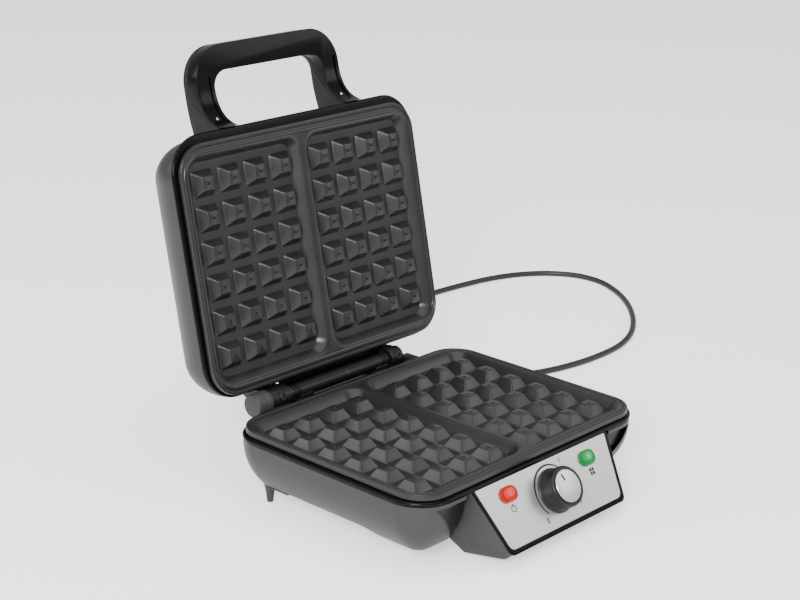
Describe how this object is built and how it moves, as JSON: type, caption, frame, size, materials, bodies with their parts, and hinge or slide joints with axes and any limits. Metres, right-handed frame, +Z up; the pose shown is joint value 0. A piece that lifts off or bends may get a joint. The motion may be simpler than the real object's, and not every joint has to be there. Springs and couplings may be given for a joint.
{
  "type": "waffle maker",
  "caption": "Double square waffle maker standing open: satin metal shells, black non-stick plates, loop handle on the lid, sloping control panel with knob and two lamps, mains lead.",
  "frame": {"origin": "on the table, under the middle of the open waffle maker's outer box without its mains lead", "axes": "+Z up, -Y the front with the control panel, +Y the hinge side, +X the user's right"},
  "size_m": [0.6722, 0.4945, 0.3465],
  "materials": {
    "satin_metal_shell": "satin warm grey sheet, faint brushing",
    "black_gloss_plastic": "glossy black heat-resistant moulding",
    "black_matte_plastic": "matt black moulding",
    "dark_grey_plastic": "fine-textured dark grey moulding",
    "non_stick_coating": "satin dark grey non-stick coating on cast aluminium",
    "heater_sheath": "heat-browned tubular sheath",
    "aluminium_sheet": "bright rolled sheet",
    "brushed_panel": "fine horizontal brushing, clear",
    "red_lens": "translucent red lens",
    "green_lens": "translucent green lens",
    "neon_glass": "clear glass bulb",
    "zinc_plated_steel": "zinc-plated steel",
    "nickel_pins": "nickel-plated brass",
    "rubber": "matt black rubber",
    "ceramic": "unglazed white ceramic",
    "cord_jacket": "black flexible jacket, slight sheen"
  },
  "bodies": {
    "base": {"base_housing": "satin_metal_shell", "bottom_cover": "black_matte_plastic", "base_bezel": "black_gloss_plastic", "lower_plate": "non_stick_coating", "lower_heating_element": "heater_sheath", "lower_heat_shield": "aluminium_sheet", "thermal_fuse": "ceramic", "terminal_block": "ceramic", "cover_screw_1": "zinc_plated_steel", "cover_screw_2": "zinc_plated_steel", "cover_screw_3": "zinc_plated_steel", "cover_screw_4": "zinc_plated_steel", "front_foot_left": "rubber", "front_foot_right": "rubber", "rear_foot_left": "dark_grey_plastic", "rear_foot_right": "dark_grey_plastic", "control_box": "dark_grey_plastic", "panel_frame": "black_gloss_plastic", "control_panel": "brushed_panel", "power_lamp_lens": "red_lens", "ready_lamp_lens": "green_lens", "power_neon_lamp": "neon_glass", "ready_neon_lamp": "neon_glass", "thermostat": "ceramic", "hinge_bracket_left": "black_matte_plastic", "hinge_bracket_right": "black_matte_plastic", "bracket_screw_left_1": "zinc_plated_steel", "bracket_screw_left_2": "zinc_plated_steel", "bracket_screw_right_1": "zinc_plated_steel", "bracket_screw_right_2": "zinc_plated_steel", "hinge_barrel_left": "black_matte_plastic", "hinge_barrel_right": "black_matte_plastic", "hinge_pin": "zinc_plated_steel", "hinge_end_cap": "dark_grey_plastic", "cord_outlet": "black_matte_plastic", "cord_gland": "rubber", "power_cord": "cord_jacket", "plug_body": "black_matte_plastic", "plug_pin_left": "nickel_pins", "plug_pin_right": "nickel_pins"},
    "lid": {"lid_housing": "satin_metal_shell", "lid_bezel": "black_gloss_plastic", "upper_plate": "non_stick_coating", "upper_heating_element": "heater_sheath", "upper_heat_shield": "aluminium_sheet", "handle_front": "black_gloss_plastic", "handle_back": "dark_grey_plastic", "handle_screw_left": "zinc_plated_steel", "handle_screw_right": "zinc_plated_steel", "hinge_arm_left": "black_matte_plastic", "hinge_arm_right": "black_matte_plastic", "arm_screw_left": "zinc_plated_steel", "arm_screw_right": "zinc_plated_steel"},
    "knob": {"control_knob": "black_matte_plastic", "knob_cap": "brushed_panel", "thermostat_shaft": "zinc_plated_steel"}
  },
  "joints": [
    {"name": "lid_hinge", "type": "hinge", "parent": "base", "child": "lid", "pos_m": [0, 0.0752, 0.0683], "axis": [1, 0, 0], "range_deg": [0, 102]},
    {"name": "thermostat_knob", "type": "hinge", "parent": "base", "child": "knob", "pos_m": [0, -0.15886, 0.03706], "axis": [0, -0.829, 0.5592], "range_deg": [-141, 115]}
  ]
}
